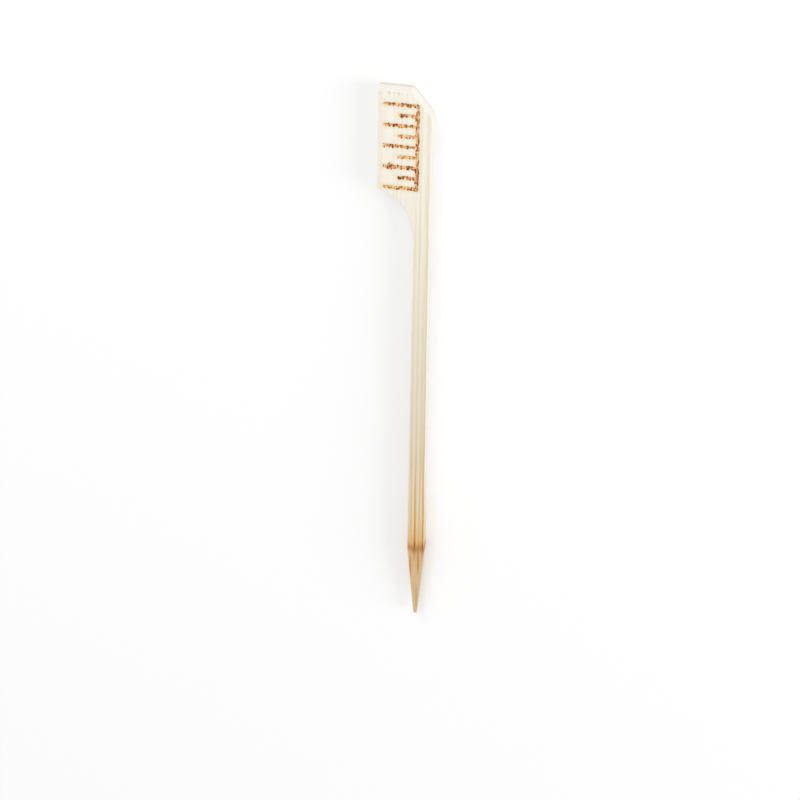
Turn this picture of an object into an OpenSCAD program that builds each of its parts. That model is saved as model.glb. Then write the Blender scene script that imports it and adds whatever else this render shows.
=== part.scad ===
// Bamboo pick: one flat slat with a wide head, a straight spine, a slim stem and a four-sided point.
// It lies on its back with the marked face up. Y runs along the pick to its head and X across it to
// the spine. The origin is under the middle of the whole pick, on the surface that it lies on.

/* [Pick] */
// Length from the top end of the head to the point
pick_l = 90; // [70:1:120]
// Thickness of the slat from front to back
slat_t = 2.2; // [1.6:0.1:3]
// Width of the softened arrises along the straight edges
arris_w = 0.13; // [0.11:0.01:0.25]

/* [Head] */
// Width from the left edge to the spine
head_w = 7.6; // [6.5:0.1:9]
// Length from the top end down to the neck
head_l = 23.4; // [21:0.1:30]
// How far the spine leans outwards between the neck and the top end
spine_lean = 0.2; // [0:0.05:0.5]
// Cut-off corner of the head, measured across the head
corner_w = 2.9; // [1.5:0.1:4]
// Cut-off corner of the head, measured down the spine
corner_l = 3.9; // [2:0.1:5.5]

/* [Shoulder] */
// Radius of the round cutter that swept the wood away beside the stem
cutter_r = 5.5; // [4:0.1:8]
// Length of the straight cut that runs on from the round sweep to the neck
run_out_l = 3.2; // [2:0.1:5]
// Slant of that straight cut against the spine, in degrees
run_out_slant = 17; // [8:1:25]
// Width of the softened arrises along the sweep and the straight cut
sweep_arris_w = 0.1; // [0.04:0.01:0.1]

/* [Stem and point] */
// Width of the stem at the neck
neck_w = 2.25; // [1.8:0.05:3]
// Width of the stem where the point starts
stem_w = 2.45; // [1.8:0.05:3]
// Length of the four cuts that make the point
point_l = 12; // [6:0.5:20]
// Width of the blunt tip that is left
tip_w = 0.5; // [0.2:0.05:1]

/* [Burnt scale] */
// Depth that the hot stamp sank into the face
burn_depth = 0.12; // [0.05:0.01:0.3]
// Width of a burnt stroke
stroke_w = 0.5; // [0.3:0.05:0.7]
// Distance from the head's left edge to the scale's upright rail
rail_inset = 5.7; // [5.5:0.1:6]
// Distance from the top end to the first tick
scale_inset = 2.2; // [1.2:0.1:2.6]
// Distance from one tick to the next
tick_pitch = 1.7; // [1:0.05:1.75]
// Number of ticks, long and short by turns
tick_count = 9; // [3:1:9]
// Length of a long tick, from the rail's middle line
long_tick_l = 4.7; // [3:0.1:4.8]
// Length of a short tick, from the rail's middle line
short_tick_l = 2.5; // [1:0.1:2.8]
// Tick that carries the lozenge, counted from the top
lozenge_tick = 7; // [1:1:9]
// Length of the lozenge along its tick
lozenge_l = 1.7; // [1:0.1:2.5]
// Width of the lozenge
lozenge_w = 1.2; // [0.8:0.1:1.4]

/* [Hidden] */
$fn = 96;

// How far a cutting shape runs past the wood that it cuts
spare = 1;
// How far the round sweep bites in past the line of the straight cut
cutter_bite = 0.1;
// Overlap of the head's slat and the stem's slat on either side of the neck
lap_l = 1.5;

// Outline values, with zero on the spine at the neck
neck_to_tip = pick_l - head_l;
point_y = point_l - neck_to_tip;
function spine_x(y) = spine_lean * y / head_l;
widest_x = spine_x(head_l - corner_l);
run_out_top = [-neck_w - run_out_l * sin(run_out_slant), run_out_l * cos(run_out_slant)];
run_out_foot = [lap_l * tan(run_out_slant) - neck_w, -lap_l];
cutter_at = run_out_top - (cutter_r - cutter_bite) * [cos(run_out_slant), sin(run_out_slant)];
neck_at = [(head_w - widest_x) / 2, pick_l / 2 - head_l];

// Corners of the head's slat: down its left side, down the straight cut and up the spine
head_corners = [
    [-head_w, head_l],
    [-head_w, run_out_top.y],
    run_out_top,
    run_out_foot,
    [spine_x(-lap_l), -lap_l],
    [widest_x, head_l - corner_l],
    [spine_x(head_l) - corner_w, head_l]
];

// Corners of the stem's slat: down its left side, round the tip and up the spine
stem_corners = [
    [-neck_w, lap_l],
    [-stem_w, point_y],
    [-(stem_w + tip_w) / 2, -neck_to_tip],
    [-(stem_w - tip_w) / 2, -neck_to_tip],
    [0, point_y],
    [0, lap_l]
];

// Shaves the front and back arrises off the edge from p to q, to width w, with the wood on the left
// of the run. The cut goes on past q by spare, and past p only where past_p asks for it.
module shave_edge(p, q, w = arris_w, past_p = spare) {
    run = q - p;
    for (face = [[0, 45], [slat_t, -45]])
        translate([p.x, p.y, face[0]])
            rotate([0, 0, atan2(run.y, run.x)])
                rotate([face[1], 0, 0])
                    translate([-past_p, -spare, -spare])
                        cube([norm(run) + past_p + spare, spare + w / sqrt(2), 2 * spare]);
}

// Head with its cut-off corner, down to a short lap inside the stem
module head_slat() {
    c = head_corners;
    difference() {
        linear_extrude(slat_t)
            polygon(c);
        shave_edge(c[0], c[1]);
        shave_edge(c[2], c[3], sweep_arris_w, 0);
        shave_edge(c[4], c[5]);
        shave_edge(c[5], c[6]);
        shave_edge(c[6], c[0]);
    }
}

// Stem that widens a little towards the point
module stem_slat() {
    c = stem_corners;
    difference() {
        linear_extrude(slat_t)
            polygon(c);
        shave_edge(c[0], c[1]);
        shave_edge(c[4], c[5]);
    }
}

// Round sweep of the cutter, which flares at both faces to shave its own arrises
module cutter_sweep() {
    flare_r = cutter_r + sweep_arris_w + spare;
    translate(cutter_at)
        rotate_extrude()
            polygon([
                [0, -spare],
                [flare_r, -spare],
                [cutter_r, sweep_arris_w],
                [cutter_r, slat_t - sweep_arris_w],
                [flare_r, slat_t + spare],
                [0, slat_t + spare]
            ]);
}

// Side view of the pick, which thins to the tip from both faces
module side_profile() {
    translate([-head_w - spare, 0, 0])
        rotate([90, 0, 90])
            linear_extrude(head_w + widest_x + 2 * spare)
                polygon([
                    [head_l + spare, -spare],
                    [head_l + spare, slat_t + spare],
                    [point_y, slat_t + spare],
                    [point_y, slat_t],
                    [-neck_to_tip, (slat_t + tip_w) / 2],
                    [-neck_to_tip, (slat_t - tip_w) / 2],
                    [point_y, 0],
                    [point_y, -spare]
                ]);
}

// Stroke with round ends from p to q
module stroke(p, q) {
    run = q - p;
    translate(p)
        rotate(atan2(run.y, run.x))
            translate([0, -stroke_w / 2])
                square([norm(run), stroke_w]);
    for (end = [p, q])
        translate(end)
            circle(d = stroke_w);
}

// Upright rail, its long and short ticks, and the lozenge on one of them
module scale_marks() {
    rail_x = rail_inset - head_w;
    first_y = head_l - scale_inset;
    stroke([rail_x, first_y], [rail_x, first_y - (tick_count - 1) * tick_pitch]);
    for (i = [0 : tick_count - 1]) {
        tick_l = i % 2 == 0 ? long_tick_l : short_tick_l;
        stroke([rail_x, first_y - i * tick_pitch], [rail_x - tick_l, first_y - i * tick_pitch]);
    }
    translate([rail_x - long_tick_l + lozenge_l / 2, first_y - (lozenge_tick - 1) * tick_pitch])
        polygon([[-lozenge_l / 2, 0], [0, -lozenge_w / 2], [lozenge_l / 2, 0], [0, lozenge_w / 2]]);
}

module pick() {
    color([0.94, 0.91, 0.82])
        translate([neck_at.x, neck_at.y, 0])
            difference() {
                intersection() {
                    union() {
                        head_slat();
                        stem_slat();
                    }
                    side_profile();
                }
                cutter_sweep();
                translate([0, 0, slat_t - burn_depth])
                    linear_extrude(burn_depth + spare)
                        scale_marks();
            }
}

pick();
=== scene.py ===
import math

import bpy
import numpy as np
from mathutils import Matrix, Vector


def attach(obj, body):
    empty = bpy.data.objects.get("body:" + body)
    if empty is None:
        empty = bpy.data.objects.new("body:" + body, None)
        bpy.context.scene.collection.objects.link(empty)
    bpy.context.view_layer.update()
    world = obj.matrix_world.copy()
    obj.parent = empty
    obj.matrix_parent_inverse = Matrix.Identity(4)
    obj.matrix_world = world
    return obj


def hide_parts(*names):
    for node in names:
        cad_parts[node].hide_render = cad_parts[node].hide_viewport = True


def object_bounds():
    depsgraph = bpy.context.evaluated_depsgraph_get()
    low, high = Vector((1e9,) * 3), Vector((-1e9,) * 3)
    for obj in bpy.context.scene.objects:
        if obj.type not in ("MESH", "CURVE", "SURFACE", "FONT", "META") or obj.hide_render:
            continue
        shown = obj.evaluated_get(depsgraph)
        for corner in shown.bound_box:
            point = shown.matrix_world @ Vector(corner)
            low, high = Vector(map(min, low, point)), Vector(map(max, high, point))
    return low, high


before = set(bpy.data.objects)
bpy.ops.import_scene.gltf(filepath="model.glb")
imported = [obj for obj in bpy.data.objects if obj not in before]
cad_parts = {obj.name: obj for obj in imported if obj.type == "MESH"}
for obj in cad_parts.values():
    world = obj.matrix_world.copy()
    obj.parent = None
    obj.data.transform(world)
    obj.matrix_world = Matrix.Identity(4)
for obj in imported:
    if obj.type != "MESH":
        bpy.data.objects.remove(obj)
cad_low, cad_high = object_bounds()
MM = 0.001

# The pick: one flat slat of bamboo, about 2 mm thick, sawn and split from a culm's wall so that its
# fibres run straight from head to point. A round cutter swept the wood away beside the stem, the spine's
# top corner and the point are straight cuts, and a hot stamp burnt a scale into the inner, front face.
HEAD_W = 7.6 * MM
HEAD_L = 23.4 * MM
SPINE_LEAN = 0.2 * MM
CORNER_W = 2.9 * MM
CORNER_L = 3.9 * MM
CUTTER_R = 5.5 * MM
CUTTER_BITE = 0.1 * MM
RUN_OUT_L = 3.2 * MM
RUN_OUT_SLANT = math.radians(17)
NECK_W = 2.25 * MM
STEM_W = 2.45 * MM
POINT_L = 12.0 * MM
TIP_W = 0.5 * MM
ARRIS_R = 0.13 * MM
TIP_ARRIS_R = ARRIS_R / 2
# The arrises along the spine are crisper: their width as a share of the others'
SPINE_ARRIS = 0.4
# Where the cutter left the head's lower corner, the wood broke away a little: that far across and up
BROKEN_W = 1.15 * MM
BROKEN_H = 0.28 * MM

LEFT_X, SPINE_X = cad_low.x, cad_low.x + HEAD_W
TIP_Y, TOP_Y = cad_low.y, cad_high.y
NECK_Y = TOP_Y - HEAD_L
POINT_Y = TIP_Y + POINT_L
SLAT_T = cad_high.z
SLANT = np.array([math.cos(RUN_OUT_SLANT), math.sin(RUN_OUT_SLANT)])
RUN_OUT_TOP = np.array([SPINE_X - NECK_W, NECK_Y]) + RUN_OUT_L * np.array([-SLANT[1], SLANT[0]])
CUTTER_AT = RUN_OUT_TOP - (CUTTER_R - CUTTER_BITE) * SLANT
SWEEP_Y = CUTTER_AT[1] + math.sqrt(CUTTER_R**2 - (LEFT_X + BROKEN_W - CUTTER_AT[0]) ** 2)
BROKEN_Y = CUTTER_AT[1] + math.sqrt(CUTTER_R**2 - (LEFT_X - CUTTER_AT[0]) ** 2) + BROKEN_H


def wander(along, wave, size, seed):
    """A smooth random wander: five sine waves of about the given wavelength, with seeded phases, added
    up to about the given size."""
    rng = np.random.default_rng(seed)
    total = np.zeros_like(along)
    for share in (0.5, 0.8, 1.0, 1.6, 2.7):
        total += np.sin(2 * math.pi * along / (wave * share) + rng.uniform(0, 2 * math.pi)) * share
    return total * size / 4


def smooth_step(share):
    """0 at a share of 0 and below, 1 at 1 and above, and a smooth rise between: 3 s^2 - 2 s^3."""
    share = np.clip(share, 0, 1)
    return share * share * (3 - 2 * share)


def outline(y):
    """Left and right edges of the pick's outline at the height y, as two arrays.

    Left edge, from the top: the head's straight side; the broken corner's slanted line; the cutter's
    circle, x = centre + sqrt(r^2 - dy^2), or the straight cut down to the neck where that lies further in;
    the stem, which widens evenly; and the point, which narrows evenly to the tip about the stem's middle.
    Right edge: the leaning spine, cut by the corner's straight line, then the straight stem and the point
    again."""
    dy = np.clip(y - CUTTER_AT[1], -CUTTER_R, CUTTER_R)
    sweep = CUTTER_AT[0] + np.sqrt(CUTTER_R**2 - dy**2)
    run_out = RUN_OUT_TOP[0] + (RUN_OUT_TOP[1] - y) * math.tan(RUN_OUT_SLANT)
    stem = SPINE_X - NECK_W - (STEM_W - NECK_W) * (NECK_Y - y) / (NECK_Y - POINT_Y)
    cut = np.where(y > RUN_OUT_TOP[1], sweep, np.maximum(sweep, run_out))
    broken = LEFT_X + BROKEN_W * np.clip((BROKEN_Y - y) / (BROKEN_Y - SWEEP_Y), 0, 1)
    left = np.select([y > SWEEP_Y, y > NECK_Y], [broken, cut], stem)
    spine = SPINE_X + SPINE_LEAN * np.maximum(y - NECK_Y, 0) / HEAD_L
    corner = SPINE_X + SPINE_LEAN - CORNER_W * (y - TOP_Y + CORNER_L) / CORNER_L
    right = np.minimum(spine, corner)
    tip_share = np.clip((POINT_Y - y) / POINT_L, 0, 1)
    middle = SPINE_X - STEM_W / 2
    left = np.where(tip_share > 0, middle - (STEM_W + (TIP_W - STEM_W) * tip_share) / 2, left)
    right = np.where(tip_share > 0, middle + (STEM_W + (TIP_W - STEM_W) * tip_share) / 2, right)
    return left, right


# The burnt scale: a rail, long and short ticks by turns, and a lozenge on one long tick, counted from
# zero. The stamp sank in with walls that slope over their width, to a pitted bed. The bed's level and
# its pits are shares of the depth, and the rows of pits slant.
RAIL_X = LEFT_X + 5.7 * MM
FIRST_TICK_Y = TOP_Y - 2.2 * MM
TICK_PITCH = 1.7 * MM
TICK_COUNT = 9
LONG_TICK_L = 4.7 * MM
SHORT_TICK_L = 2.5 * MM
STROKE_W = 0.5 * MM
LOZENGE_TICK = 6
LOZENGE_L = 1.7 * MM
LOZENGE_W = 1.2 * MM
BURN_DEPTH = 0.12 * MM
BURN_WALL_W = 0.12 * MM
BED_LEVEL = 0.9
PIT_SIZE = 0.3
PIT_WAVE = 0.9 * MM
PIT_SLANT = 0.7


def stroke_depth(x, y):
    """How far each point lies inside the burnt strokes, below zero outside: half a stroke's width less
    the distance to the stroke's middle line, the most over all strokes, and for the lozenge the distance
    inside its four slanted sides."""
    last_y = FIRST_TICK_Y - (TICK_COUNT - 1) * TICK_PITCH
    depth = STROKE_W / 2 - np.hypot(x - RAIL_X, y - np.clip(y, last_y, FIRST_TICK_Y))
    for tick in range(TICK_COUNT):
        tick_y = FIRST_TICK_Y - tick * TICK_PITCH
        tick_l = SHORT_TICK_L if tick % 2 else LONG_TICK_L
        across = x - np.clip(x, RAIL_X - tick_l, RAIL_X)
        depth = np.maximum(depth, STROKE_W / 2 - np.hypot(across, y - tick_y))
    lozenge_x = RAIL_X - LONG_TICK_L + LOZENGE_L / 2
    lozenge_y = FIRST_TICK_Y - LOZENGE_TICK * TICK_PITCH
    slant = math.hypot(LOZENGE_L, LOZENGE_W)
    off = np.abs(x - lozenge_x) * LOZENGE_W + np.abs(y - lozenge_y) * LOZENGE_L
    return np.maximum(depth, (LOZENGE_L * LOZENGE_W / 2 - off) / slant)


# The fibre bundles, as (across, lean, depth, radius, strength), in millimetres. The ones that show as the
# stem's darker lines, and two at the head's edges, have places of their own, measured from the spine at
# the neck. They lean that far across from the neck to the point, and the stem's fade up the head.
STEM_BUNDLES = [
    (-0.26, 0.22, 0.04, 0.19, 0.88), (-0.50, -0.28, 0.12, 0.20, 0.6), (-1.27, -0.08, 0.05, 0.17, 0.72),
    (-1.94, 0.0, 0.12, 0.17, 0.62),
]
HEAD_BUNDLES = [(0.06, 0.0, 0.10, 0.22, 0.45), (-7.15, 0.0, 0.16, 0.34, 0.4)]
HEAD_FADE = 0.3
HEAD_FADE_L = 8 * MM
# The others lie in rows through the slat's thickness, wide and sparse under the inner, front face and fine
# and close under the outer, back face, as (depth, pitch, radius). The rows run a little past the slat's
# edges, and the first one begins beside the stem. Their jitter is a share of the pitch, and less in depth.
BUNDLE_ROWS = [
    (0.10, 0.62, 0.14), (0.62, 0.68, 0.20), (1.10, 0.58, 0.18),
    (1.50, 0.47, 0.15), (1.82, 0.37, 0.12), (2.08, 0.28, 0.09),
]
FIRST_ROW_START = 2.5
PAST_EDGE = 0.2
BUNDLE_JITTER = 0.3
DEPTH_JITTER = 0.35
BUNDLE_SIZES = (0.8, 1.2)
BUNDLE_STRENGTHS = (0.2, 0.5)
# All sway sideways and sink in depth along the pick: how far, in millimetres, and over what wavelength
SWAY, SWAY_WAVE = 0.03, 30 * MM
SINK, SINK_WAVE = 0.07, 23 * MM
# A bundle is at full strength out to the first of these shares of its radius and ends at the second
BUNDLE_CORE, BUNDLE_RIM = 0.55, 1.25
# Spots where a bundle crops out at the head's worn front edge: across, from the spine, and radius
END_SPOTS = [(-6.02, 0.24), (-5.33, 0.12), (-4.62, 0.21)]
END_SPOT_DROP = 0.38 * MM
END_SPOT_STRETCH = 1.4


def place_bundles():
    """The stem's and the head's own bundles, then rows across the slat at their pitch, with jitter."""
    rng = np.random.default_rng(11)
    placed = STEM_BUNDLES + HEAD_BUNDLES
    for row, (depth, pitch, radius) in enumerate(BUNDLE_ROWS):
        across = PAST_EDGE - (FIRST_ROW_START if row == 0 else rng.uniform(0, pitch))
        while across > -HEAD_W / MM - PAST_EDGE:
            jitter = rng.uniform(-BUNDLE_JITTER, BUNDLE_JITTER, 2) * pitch
            size = rng.uniform(*BUNDLE_SIZES)
            strength = rng.uniform(*BUNDLE_STRENGTHS)
            at_depth = depth + DEPTH_JITTER * jitter[1]
            placed.append((across + jitter[0], 0, at_depth, radius * size, strength))
            across -= pitch
    return placed


def bundle_field(x, y, z):
    """How much of a fibre bundle each point lies in, 0 to 1: a bundle's strength times a smooth step that
    falls from 1 at its core to 0 at its rim, the most over all bundles, which wander a little sideways and
    in depth along the pick."""
    field = np.zeros_like(x)
    across = (x - SPINE_X) / MM
    depth = (SLAT_T - z) / MM
    fade = 1 - HEAD_FADE * np.clip((y - NECK_Y) / HEAD_FADE_L, 0, 1)
    for number, (at_x, lean, at_depth, radius, strength) in enumerate(place_bundles()):
        sway = lean * (NECK_Y - y) / (NECK_Y - TIP_Y) + wander(y, SWAY_WAVE, SWAY, 100 + number)
        sink = wander(y, SINK_WAVE, SINK, 300 + number)
        reach = np.hypot(across - at_x - sway, depth - at_depth - sink) / radius
        kept = fade if number < len(STEM_BUNDLES) else 1
        inside = smooth_step((BUNDLE_RIM - reach) / (BUNDLE_RIM - BUNDLE_CORE))
        field = np.maximum(field, kept * strength * inside)
    return field


def end_spots(x, y):
    """The small spots at the head's front edge, longer along the pick, as exp(-reach^2) of each spot."""
    field = np.zeros_like(x)
    for across, radius in END_SPOTS:
        down = (y - TOP_Y + END_SPOT_DROP) / END_SPOT_STRETCH
        reach = np.hypot(x - SPINE_X - across * MM, down) / (radius * MM)
        field = np.maximum(field, np.exp(-reach * reach))
    return field


def stretch(start, end, spacing):
    """Even values from start up to just before end, at about the given spacing."""
    return np.linspace(start, end, max(2, round(abs(end - start) / spacing)), endpoint=False)


def arris_turn(count):
    """Places of the lines round half an arris, 0 at its middle and 1 where the flat face begins, at equal
    angles: 1 - tan of the angle that is left of 45 degrees."""
    return 1 - np.tan(np.radians(45) * (1 - np.arange(count + 1) / count))


def box_lines(shares, count):
    """Three weights for each lattice line of a side: the near arris, the flat between and the far arris."""
    turn = arris_turn(count)
    near = np.concatenate([turn[:-1], np.ones(len(shares) + count)])
    flat = np.concatenate([np.zeros(count), shares, np.ones(count)])
    far = np.concatenate([np.zeros(len(shares) + count), 1 - turn[:-1][::-1]])
    return near, flat, far


# The lines that the surface is made of are close where the marks and the outline's bends need them
ARRIS_LINES = 3
SWEEP_LINES = 30
SPINE_SIDE_LINES = 15
THICKNESS_LINES = 19
POINT_SPACING = 0.5 * MM
STEM_SPACING = 0.7 * MM
RUN_OUT_SPACING = 0.15 * MM
BROKEN_SPACING = 0.05 * MM
MARK_SPACING = 0.085 * MM
TOP_SPACING = 0.13 * MM

marks_top_y = FIRST_TICK_Y + STROKE_W
marks_w = RAIL_X - LEFT_X + STROKE_W / 2
sweep_angles = np.arcsin((np.array([RUN_OUT_TOP[1], SWEEP_Y]) - CUTTER_AT[1]) / CUTTER_R)
heights = np.concatenate([
    TIP_Y + TIP_ARRIS_R * arris_turn(ARRIS_LINES),
    stretch(TIP_Y + ARRIS_R, POINT_Y, POINT_SPACING),
    stretch(POINT_Y, NECK_Y, STEM_SPACING),
    stretch(NECK_Y, RUN_OUT_TOP[1], RUN_OUT_SPACING),
    CUTTER_AT[1] + CUTTER_R * np.sin(np.linspace(*sweep_angles, SWEEP_LINES)),
    stretch(SWEEP_Y + 0.8 * BROKEN_SPACING, BROKEN_Y, BROKEN_SPACING),
    stretch(BROKEN_Y, marks_top_y, MARK_SPACING),
    stretch(marks_top_y, TOP_Y - ARRIS_R, TOP_SPACING),
    TOP_Y - ARRIS_R * arris_turn(ARRIS_LINES)[::-1],
])
across_places = np.concatenate([
    stretch(0, marks_w, MARK_SPACING),
    np.linspace(marks_w, HEAD_W, SPINE_SIDE_LINES),
])
across_lines = box_lines(across_places / HEAD_W, ARRIS_LINES)
through_lines = box_lines(np.linspace(0, 1, THICKNESS_LINES), ARRIS_LINES)


def shell_lattice(counts):
    """The outer points of a box lattice with so many lines each way, as three arrays of line numbers, and
    its four-cornered faces, turned outwards."""
    shell = np.ones(counts, bool)
    shell[1:-1, 1:-1, 1:-1] = False
    number = np.full(counts, -1)
    number[shell] = np.arange(shell.sum())
    faces = []
    for plane, outward in ((number[:, :, -1], True), (number[:, :, 0], False), (number[:, -1, :], False),
                           (number[:, 0, :], True), (number[-1, :, :], True), (number[0, :, :], False)):
        a, b, c, d = plane[:-1, :-1], plane[1:, :-1], plane[1:, 1:], plane[:-1, 1:]
        corners = (a, b, c, d) if outward else (a, d, c, b)
        faces.append(np.stack([corner.ravel() for corner in corners], 1))
    return np.nonzero(shell), np.concatenate(faces)


# The edges and the arrises wander a little along the pick, and the arrises narrow down the point. A face
# rises by the relief where a bundle's value is one above the level, and sinks where it is below it. The
# left arrises carry a painted highlight, and those of the two ends a share of it.
EDGE_WANDER = 0.012 * MM
LEFT_WAVE = 6 * MM
RIGHT_WAVE = 9 * MM
ARRIS_WANDER = 0.35
ARRIS_WAVE = 4 * MM
ARRIS_TAPER = 0.4
STEEPEST = 3
BUNDLE_RELIEF = 0.014 * MM
BUNDLE_LEVEL = 0.4
END_HIGHLIGHT = 0.4


def arris_across(edge, r):
    """Width across the pick of an edge's arris: r times sqrt(1 + slope^2), to STEEPEST times r at most."""
    return r * np.minimum(np.hypot(1, np.gradient(edge, heights)), STEEPEST)


def pick_surface():
    """The pick's closed surface, as points in metres and four-cornered faces, and four values at each
    point: how far it lies in a bundle, in a burnt stroke and in a spot, and how much painted highlight its
    arris takes.

    A box lattice of lines across, along and through the slat is laid between the outline's two edges and
    the two faces: x = left + near * r + flat * (width - 2r) + far * r, and the same through the thickness.
    Each point is then drawn on to the rounded solid: the point of a box shrunk by r that lies nearest,
    plus r along the direction from there. Bundles stand a little proud, and the strokes sink in. The
    painted arris highlight is twice the product of how far a point faces front or back and how far it faces
    left or an end."""
    counts = (len(across_lines[0]), len(heights), len(through_lines[0]))
    (i, j, k), faces = shell_lattice(counts)

    left, right = outline(heights)
    left = left + wander(heights, LEFT_WAVE, EDGE_WANDER, 1)
    right = right + wander(heights, RIGHT_WAVE, EDGE_WANDER, 2)
    taper = np.clip((POINT_Y - heights) / POINT_L, 0, 1)
    half_t = (SLAT_T + (TIP_W - SLAT_T) * taper) / 2
    r = ARRIS_R * (1 - ARRIS_TAPER * taper) * (1 + wander(heights, ARRIS_WAVE, ARRIS_WANDER, 3))
    r_left, r_right = arris_across(left, r)[j], arris_across(right, SPINE_ARRIS * r)[j]
    left, right, r, half_t = left[j], right[j], r[j], half_t[j]

    near, flat, far = (line[i] for line in across_lines)
    x = left + near * r_left + flat * (right - left - r_left - r_right) + far * r_right
    y = heights[j]
    near, flat, far = (line[k] for line in through_lines)
    z = SLAT_T / 2 - half_t + near * r + flat * 2 * (half_t - r) + far * r

    core = np.stack([
        np.clip(x, left + r_left, right - r_right),
        np.clip(y, TIP_Y + TIP_ARRIS_R, TOP_Y - ARRIS_R),
        np.clip(z, SLAT_T / 2 - half_t + r, SLAT_T / 2 + half_t - r),
    ], 1)
    r_across = np.where(x < core[:, 0], r_left, r_right)
    r_along = np.where(y < POINT_Y, TIP_ARRIS_R, ARRIS_R)
    radii = np.stack([r_across, r_along, r], 1)
    out = (np.stack([x, y, z], 1) - core) / radii
    out /= np.linalg.norm(out, axis=1, keepdims=True)
    place = core + out * radii

    bundle = bundle_field(*place.T)
    front = np.clip(out[:, 2], 0, 1) ** 4
    stroke = np.where(front > 0.5, stroke_depth(place[:, 0], place[:, 1]), -STROKE_W)
    sunk = smooth_step(0.5 + stroke / BURN_WALL_W)
    relief = BUNDLE_RELIEF * (bundle - BUNDLE_LEVEL)
    place += out * relief[:, None]
    pits = wander(place[:, 0] + PIT_SLANT * place[:, 1], PIT_WAVE, PIT_SIZE, 5)
    place[:, 2] -= BURN_DEPTH * sunk * front * (BED_LEVEL + pits)

    spots = end_spots(place[:, 0], place[:, 1]) * front
    worn = 2 * np.abs(out[:, 2]) * (np.clip(-out[:, 0], 0, 1) + END_HIGHLIGHT * np.abs(out[:, 1]))
    return place, faces, bundle, stroke, spots, worn


points, faces, bundle, stroke, spots, worn = pick_surface()
mesh = bpy.data.meshes.new("bamboo_pick")
mesh.from_pydata(points, [], faces)
mesh.polygons.foreach_set("use_smooth", np.ones(len(faces), bool))
normals = np.zeros(len(points) * 3)
mesh.vertices.foreach_get("normal", normals)
for name, values in (("bundle", bundle), ("stroke", stroke / MM), ("end_grain", np.abs(normals[1::3])),
                     ("side_face", np.clip(normals[::3], 0, 1)), ("spots", spots), ("worn", worn)):
    mesh.attributes.new(name, "FLOAT", "POINT").data.foreach_set("value", values)
pick = bpy.data.objects.new("bamboo_pick", mesh)
bpy.context.collection.objects.link(pick)


class Wire:
    """One output of a node in a material. Sums, products and powers of wires and numbers add Math nodes."""

    def __init__(self, tree, socket=None):
        self.tree = tree
        self.socket = socket

    def node(self, kind, settings=None, sockets=None, output=0):
        """Adds a node of a type, sets its settings, then its sockets to values or wires, and gives one of
        its outputs as a wire. The setting stops gives a colour ramp its places and colours."""
        made = self.tree.nodes.new("ShaderNode" + kind)
        for name, value in (settings or {}).items():
            if name == "stops":
                ramp = made.color_ramp
                while len(ramp.elements) < len(value):
                    ramp.elements.new(1)
                for element, (place, colour) in zip(ramp.elements, value):
                    element.position = place
                    element.color = colour
            else:
                setattr(made, name, value)
        for name, value in (sockets or {}).items():
            if isinstance(value, Wire):
                self.tree.links.new(value.socket, made.inputs[name])
            else:
                made.inputs[name].default_value = value
        return Wire(self.tree, made.outputs[output]) if made.outputs else None

    def math(self, operation, first, second):
        return self.node("Math", {"operation": operation}, {0: first, 1: second})

    def __add__(self, other):
        return self.math("ADD", self, other)

    def __mul__(self, other):
        return self.math("MULTIPLY", self, other)

    def __sub__(self, other):
        return self.math("SUBTRACT", self, other)

    def __rsub__(self, other):
        return self.math("SUBTRACT", other, self)

    def __pow__(self, other):
        return self.math("POWER", self, other)

    __radd__ = __add__
    __rmul__ = __mul__

    def ramp(self, low, high):
        """0 at low and below, 1 at high and above, smooth between."""
        settings = {"interpolation_type": "SMOOTHSTEP"}
        return self.node("MapRange", settings, {"Value": self, "From Min": low, "From Max": high})

    def mix(self, first, second):
        """Two colours mixed, with this wire as the share of the second. A Mix node has its colours at
        inputs 6 and 7 and the mixed colour at output 2."""
        settings = {"data_type": "RGBA"}
        return self.node("Mix", settings, {0: self, 6: first, 7: second}, 2)


def colour(red, green, blue):
    """A colour as a picture shows it, 0 to 255, in the linear values that shaders take."""
    shown = np.array([red, green, blue]) / 255
    linear = np.where(shown > 0.04045, ((shown + 0.055) / 1.055) ** 2.4, shown / 12.92)
    return (*linear, 1.0)


def shades(share, stops):
    """A colour that changes with a share from 0 to 1, through stops of a place and a colour as shown."""
    settings = {"stops": [(place, colour(*shown)) for place, *shown in stops]}
    return share.node("ValToRGB", settings, {0: share})


def noise(at, across, along, detail, roughness=0.5):
    """Noise with so many cells per millimetre across the grain and along it."""
    cells = at.node("VectorMath", {"operation": "MULTIPLY"}, {0: at, 1: (across, along, across)})
    sockets = {"Vector": cells, "Scale": 1.0, "Detail": detail, "Roughness": roughness}
    return at.node("TexNoise", None, sockets)


# Colours down the pick, from the head's end at 0 to the tip at 1: the pale ground, the fibres, and the
# split face along the spine, which is whiter. The paler head and the greyer, warmer stem below it are
# painted light and shade, with painted warm reflected light low down. The stem's lowest third is also
# browned by moisture, and the dark ring near 0.86 is partly that stain and partly a painted contact shadow.
# The split face's extra whiteness is partly painted light from the spine's side.
GROUND = [
    (0.0, 246, 242, 230), (0.16, 246, 241, 226), (0.29, 239, 233, 216), (0.45, 232, 225, 207),
    (0.60, 228, 216, 197), (0.74, 228, 212, 193), (0.81, 225, 205, 174), (0.84, 221, 193, 148),
    (0.853, 216, 178, 124), (0.858, 205, 156, 98), (0.864, 190, 130, 76), (0.875, 216, 182, 138),
    (1.0, 220, 192, 150),
]
FIBRE = [
    (0.0, 233, 224, 199), (0.16, 231, 221, 195), (0.29, 226, 216, 184), (0.45, 224, 213, 184),
    (0.60, 221, 204, 172), (0.74, 215, 183, 122), (0.80, 212, 164, 74), (0.852, 206, 139, 42),
    (0.858, 178, 104, 38), (0.864, 134, 70, 28), (0.876, 194, 144, 80), (1.0, 202, 158, 100),
]
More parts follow.
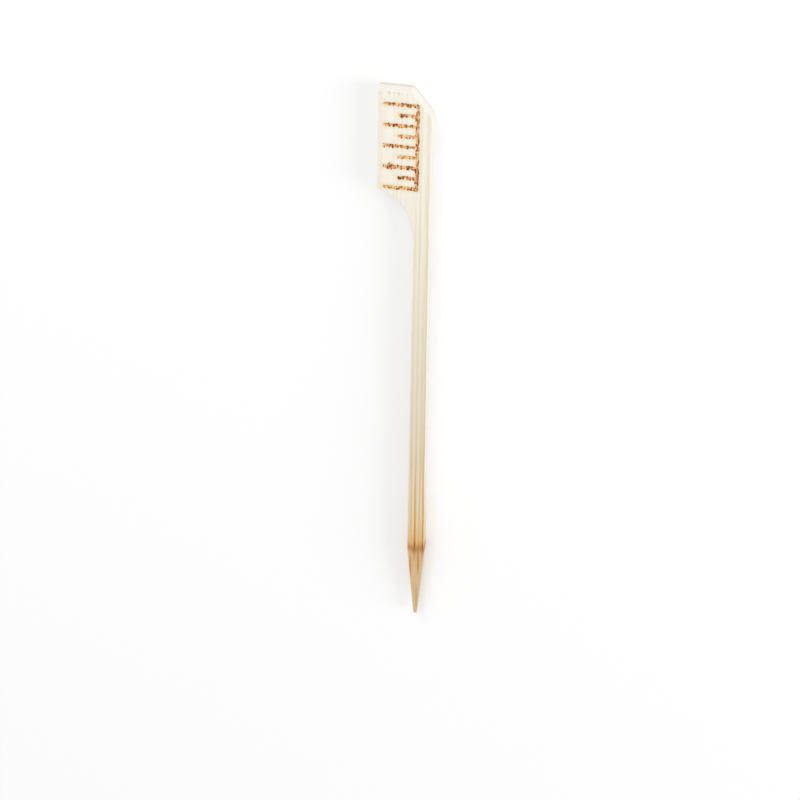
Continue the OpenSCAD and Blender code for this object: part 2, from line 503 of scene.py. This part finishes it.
SPLIT = [
    (0.0, 240, 238, 231), (0.60, 234, 234, 228), (0.70, 233, 234, 229), (0.75, 231, 225, 215),
    (0.80, 227, 212, 187), (0.852, 219, 201, 163), (0.865, 164, 106, 62), (0.870, 166, 108, 66),
    (0.882, 206, 174, 128), (1.0, 214, 186, 144),
]
# A painted highlight on the arrises, the soft pith between the bundles at a sawn end, which is partly
# painted light on the top end, a bundle there, the skin left from the culm's outside, a spot, and the faint
# scorch round a stroke
PAINTED_HIGHLIGHT = (252, 247, 232)
PITH_AND_END_LIGHT = (254, 251, 243)
CUT_BUNDLE = (196, 172, 132)
SKIN = (190, 166, 140)
SPOT = (206, 190, 152)
SCORCH = (226, 215, 190)
# Two burnt colours, from barely scorched at 0 to charred at 1
CHAR_RED = [
    (0.0, 245, 219, 176), (0.25, 231, 182, 132), (0.45, 207, 138, 98), (0.62, 168, 94, 62),
    (0.8, 118, 60, 38), (1.0, 70, 34, 24),
]
CHAR_OCHRE = [
    (0.0, 245, 223, 172), (0.25, 233, 188, 120), (0.45, 214, 149, 84), (0.62, 176, 105, 54),
    (0.8, 123, 66, 34), (1.0, 72, 37, 22),
]
# The grain that is too fine for the surface and is shown by its shading: how deep, and how much of it
GRAIN_DEPTH = 0.03 * MM
GRAIN_SHOWN = 0.35


def burnt_strokes(at, stroke):
    """The charring of the strokes: its colour, how far a point lies inside their ragged rim, in
    millimetres, and its grain. It is beaded, and darkest in beads along the rim."""
    grain = noise(at, across=3.4, along=2.6, detail=3, roughness=0.6)
    blot = noise(at, across=1.1, along=0.8, detail=2)
    bead = noise(at, across=3.4, along=1.2, detail=1)
    tint = noise(at, across=0.8, along=0.9, detail=1)
    inside = stroke + 0.38 * (grain - 0.5) + 0.42 * (bead - 0.5)
    core = inside.ramp(-0.06, 0.05)
    rim = core * inside.ramp(0.26, 0.1)
    heat = 0.08 + 0.38 * blot.ramp(0.3, 0.75) * inside.ramp(-0.1, 0.2)
    heat = heat + (0.26 * core + 0.44 * rim) * bead.ramp(0.44, 0.66) * (0.5 + blot)
    heat = heat + 0.22 * core * grain.ramp(0.48, 0.68) + 0.3 * stroke.ramp(0.22, 0.42)
    burnt = tint.ramp(0.4, 0.6).mix(shades(heat, CHAR_RED), shades(heat, CHAR_OCHRE))
    return burnt, inside, grain


def bamboo_finish():
    """Raw split bamboo: pale ground with tan fibre lines and fine streaks, paler at the head and greyer and
    warmer down the stem as painted light and shade, browned in its lowest third by moisture drawn up along
    the fibres and by painted warm reflected light, with a painted contact shadow in its dark ring, and
    strokes charred by a hot stamp."""
    material = bpy.data.materials.new("bamboo")
    material.use_nodes = True
    tree = material.node_tree
    tree.nodes.clear()
    start = Wire(tree)
    at = start.node("TexCoord", output="Object")
    at = start.node("VectorMath", {"operation": "SCALE"}, {0: at, "Scale": 1 / MM})
    height = start.node("SeparateXYZ", None, {0: at}, "Y")
    depth = start.node("SeparateXYZ", None, {0: at}, "Z")
    down = (TOP_Y / MM - height) * (MM / (TOP_Y - TIP_Y))
    bundle, stroke, end_grain, side_face, spots, worn = (
        start.node("Attribute", {"attribute_name": name}, output="Fac")
        for name in ("bundle", "stroke", "end_grain", "side_face", "spots", "worn")
    )
    streak = noise(at, across=7.0, along=0.16, detail=3)
    hair = noise(at, across=22.0, along=0.5, detail=2)
    cloud = noise(at, across=0.5, along=0.07, detail=2)

    soak = down.ramp(0.6, 0.84)
    drawn = bundle ** (1 + 0.6 * soak) * (1 + 0.95 * soak)
    lines = drawn * (0.75 + 0.5 * streak) + 0.2 * streak.ramp(0.45, 0.75) + 0.12 * hair.ramp(0.5, 0.8)
    lines = lines + soak * side_face.ramp(0.1, 0.5) * side_face.ramp(0.98, 0.7)
    # Faces turned towards the spine's side take the whiter split colour, partly the split face's own tone
    # and partly painted light from that side.
    split = shades(down, SPLIT)
    to_side = side_face.ramp(0.45, 0.95)
    ground = (0.85 * to_side).mix(shades(down + 0.03 * (cloud - 0.5), GROUND), split)
    fibre = (0.6 * to_side).mix(shades(down + 0.05 * (streak - 0.5), FIBRE), split)
    wood = lines.mix(ground, fibre)

    # A painted highlight along the left arrises, with a share of it on the ends' arrises, stronger down the
    # stem.
    wood = (worn * (0.37 + 0.25 * down.ramp(0.5, 0.7))).mix(wood, colour(*PAINTED_HIGHLIGHT))
    # The top end is whitened, partly by its pale pith and partly as painted light on that end, and the
    # whitening fades towards the front edge as painted shade of a rounded edge.
    top_end = end_grain.ramp(0.5, 0.95) * height.ramp(0, 10)
    wood = (top_end * (0.9 - 0.5 * depth.ramp(1.4, 2.1))).mix(wood, colour(*PITH_AND_END_LIGHT))
    wood = (top_end * 0.12 * bundle).mix(wood, colour(*CUT_BUNDLE))
    rind = depth + 0.4 * (cloud - 0.5) + 0.35 * (streak - 0.5)
    skin = end_grain.ramp(0.3, 0.8) * rind.ramp(0.95, 0.45) * depth.ramp(0.1, 0.3)
    wood = (skin * (0.18 + 0.25 * streak + 0.25 * bundle)).mix(wood, colour(*SKIN))
    wood = (spots * 0.5).mix(wood, colour(*SPOT))

    burnt, inside, grain = burnt_strokes(at, stroke)
    wood = (0.35 * stroke.ramp(-0.7, 0)).mix(wood, colour(*SCORCH))
    wood = inside.ramp(-0.15, 0.02).mix(wood, burnt)

    rough = 0.62 + 0.1 * streak + 0.12 * inside.ramp(0, 0.2)
    height_map = 0.5 * bundle + 0.6 * streak + 0.35 * hair - 0.8 * inside.ramp(-0.1, 0.2) * grain
    relief = {"Height": height_map, "Strength": GRAIN_SHOWN, "Distance": GRAIN_DEPTH}
    bump = start.node("Bump", None, relief)
    shader = start.node("BsdfPrincipled", None, {
        "Base Color": wood,
        "Roughness": rough,
        "Normal": bump,
        "Specular IOR Level": 0.35,
    })
    start.node("OutputMaterial", None, {"Surface": shader})
    return material


mesh.materials.append(bamboo_finish())
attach(pick, "root")
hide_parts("pick")

# The surface it lies on: a wide, plain, near-white table top. The camera sees it a little brighter than
# it is, directly and in reflections, so that it reads as white and still holds the pick's soft shadow.
FLOOR_SIDE = 3.0
FLOOR_TONE = 0.74
FLOOR_LIFT = 0.26

floor_mesh = bpy.data.meshes.new("floor")
half = FLOOR_SIDE / 2
floor_corners = [(-half, -half, 0), (half, -half, 0), (half, half, 0), (-half, half, 0)]
floor_mesh.from_pydata(floor_corners, [], [(0, 1, 2, 3)])
floor = bpy.data.objects.new("floor", floor_mesh)
bpy.context.collection.objects.link(floor)
floor_paint = bpy.data.materials.new("floor_paint")
floor_paint.use_nodes = True
floor_paint.node_tree.nodes.clear()
start = Wire(floor_paint.node_tree)
seen = start.node("LightPath", output="Is Camera Ray")
for ray in ("Is Glossy Ray", "Is Transmission Ray"):
    seen = seen + start.node("LightPath", output=ray)
matt = start.node("BsdfDiffuse", None, {"Color": (FLOOR_TONE, FLOOR_TONE, FLOOR_TONE, 1)})
glow = start.node("Emission", None, {"Color": (1, 1, 1, 1), "Strength": seen * FLOOR_LIFT})
start.node("OutputMaterial", None, {"Surface": start.node("AddShader", None, {0: matt, 1: glow})})
floor_mesh.materials.append(floor_paint)

# The light: an even room, which the camera sees as full white, one large lamp beyond the head, and a low
# one on the spine's side, so that the spine's face and the chamfer are a little brighter than the front.
# Each lamp is given as its place, its side and its power, and is turned to the middle of the pick.
ROOM_LEVEL = 0.67
LAMPS = [((-0.36, 0.66, 0.55), 0.6, 3.1), ((0.85, 0.0, 0.30), 0.45, 3.8)]

world = bpy.data.worlds.new("room")
bpy.context.scene.world = world
world.use_nodes = True
world.node_tree.nodes.clear()
start = Wire(world.node_tree)
seen = start.node("LightPath", output="Is Camera Ray")
level = ROOM_LEVEL + (1 - ROOM_LEVEL) * seen
room = start.node("Background", None, {"Color": (1, 1, 1, 1), "Strength": level})
start.node("OutputWorld", None, {"Surface": room})

for place, side, power in LAMPS:
    lamp = bpy.data.lights.new("lamp", "AREA")
    lamp.size = side
    lamp.energy = power
    holder = bpy.data.objects.new("lamp", lamp)
    holder.location = place
    holder.rotation_euler = (-Vector(place)).to_track_quat("-Z", "Y").to_euler()
    bpy.context.collection.objects.link(holder)

# The camera: a long lens above the head's end and a little towards the spine's side, looking down on the
# pick with the head at the top of the picture. It looks at a point in from the spine and below the neck.
VIEW_TURN = math.radians(9.11)
VIEW_RISE = math.radians(33.21)
VIEW_ROLL = math.radians(-0.855)
VIEW_FROM = 0.8
AIM_IN = 4.00 * MM
AIM_BELOW = 29.07 * MM
FOCAL_PIXELS = 5483.9
PICTURE_SIDE = 800

aim = Vector((SPINE_X - AIM_IN, NECK_Y - AIM_BELOW, SLAT_T / 2))
back = Vector((
    math.sin(VIEW_TURN) * math.cos(VIEW_RISE),
    math.sin(VIEW_RISE),
    math.cos(VIEW_TURN) * math.cos(VIEW_RISE),
))
level_right = Vector((0, 1, 0)).cross(back).normalized()
level_up = back.cross(level_right)
right = level_right * math.cos(VIEW_ROLL) - level_up * math.sin(VIEW_ROLL)
up = level_right * math.sin(VIEW_ROLL) + level_up * math.cos(VIEW_ROLL)
lens = bpy.data.cameras.new("camera")
lens.sensor_width = 36
lens.lens = lens.sensor_width * FOCAL_PIXELS / PICTURE_SIDE
lens.clip_start = 0.01
camera = bpy.data.objects.new("camera", lens)
turned = Matrix((right, up, back)).transposed().to_4x4()
camera.matrix_world = Matrix.Translation(aim + back * VIEW_FROM) @ turned
bpy.context.collection.objects.link(camera)
bpy.context.scene.camera = camera
bpy.context.scene.view_settings.view_transform = "Standard"
